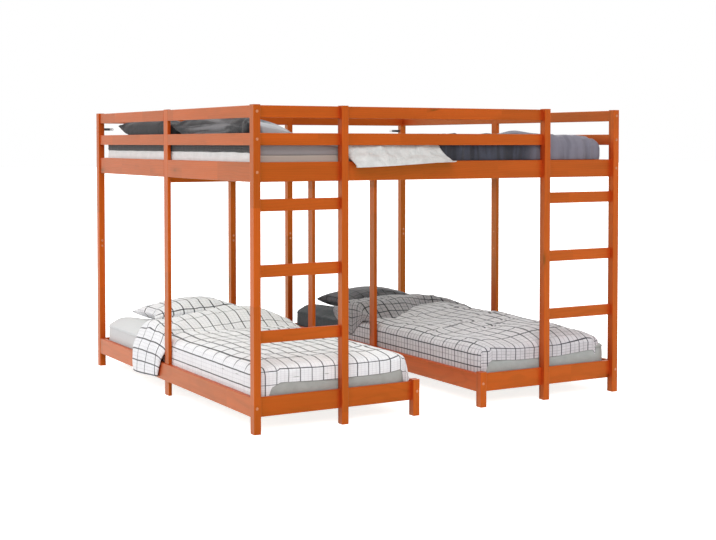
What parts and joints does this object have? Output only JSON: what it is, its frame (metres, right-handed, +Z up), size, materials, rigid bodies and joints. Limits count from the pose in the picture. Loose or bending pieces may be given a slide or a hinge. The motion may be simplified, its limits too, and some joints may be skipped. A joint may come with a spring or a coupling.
{
  "type": "triple bunk bed",
  "caption": "Wooden bunk bed: a square sleeping platform with guard rails and two ladders over two single beds, with mattresses and bedding.",
  "frame": {"origin": "on the floor, under the middle of the whole object's bounding box", "axes": "+X from left to right along the front with the ladders, +Y from the front to the back, +Z up; right-handed"},
  "size_m": [2.082, 2.102, 1.44],
  "materials": {
    "pine_stained": "satin waxed pine stained orange brown, finger jointed boards",
    "pine_plain": "plain planed pine",
    "beech": "plain beech dowel",
    "zinc_steel": "bright zinc",
    "strap_webbing": "woven cotton strap",
    "mattress_light": "light grey knitted cover",
    "slate_fabric": "dark slate cotton",
    "white_check": "white cotton with a thin dark check",
    "grey_check": "pale grey cotton with a thin dark check",
    "navy_fabric": "dark navy cotton",
    "white_fabric": "white cotton with a thin dark check"
  },
  "bodies": {
    "root": {"front_left_post": "pine_stained", "left_ladder_post": "pine_stained", "right_ladder_post": "pine_stained", "front_right_post": "pine_stained", "foot_posts": "pine_stained", "back_left_post_lower": "pine_stained", "back_left_post_upper": "pine_stained", "back_inner_left_post_lower": "pine_stained", "back_inner_left_post_upper": "pine_stained", "back_inner_right_post_lower": "pine_stained", "back_inner_right_post_upper": "pine_stained", "back_right_post_lower": "pine_stained", "back_right_post_upper": "pine_stained", "left_middle_post_lower": "pine_stained", "left_middle_post_upper": "pine_stained", "right_middle_post_lower": "pine_stained", "right_middle_post_upper": "pine_stained", "left_inner_support": "pine_stained", "right_inner_support": "pine_stained", "left_guard_rails": "pine_stained", "right_guard_rails": "pine_stained", "front_guard_rails": "pine_stained", "back_guard_rails": "pine_stained", "left_platform_rails": "pine_stained", "right_platform_rails": "pine_stained", "front_platform_rails": "pine_stained", "back_platform_rails": "pine_stained", "middle_beam": "pine_stained", "left_bed_outer_rail": "pine_stained", "left_bed_inner_rail": "pine_stained", "right_bed_inner_rail": "pine_stained", "right_bed_outer_rail": "pine_stained", "left_bed_foot_rails": "pine_stained", "right_bed_foot_rails": "pine_stained", "bed_head_rails": "pine_stained", "left_ladder_rungs": "pine_stained", "right_ladder_rungs": "pine_stained", "platform_ledges": "pine_plain", "bed_ledges": "pine_plain", "platform_slats": "pine_plain", "left_bed_slats": "pine_plain", "right_bed_slats": "pine_plain", "slat_straps": "strap_webbing", "connecting_bolts": "zinc_steel", "barrel_nuts": "zinc_steel", "post_pins": "zinc_steel", "wood_dowels": "beech", "wood_screws": "zinc_steel", "wall_plates": "zinc_steel", "upper_mattress": "mattress_light", "left_mattress": "mattress_light", "right_mattress": "slate_fabric", "left_duvet": "white_check", "left_pillow": "white_check", "right_duvet": "grey_check", "right_pillow": "grey_check", "upper_blanket": "slate_fabric", "upper_pillows": "slate_fabric", "upper_duvet": "navy_fabric", "upper_duvet_turnback": "white_fabric"}
  },
  "joints": []
}
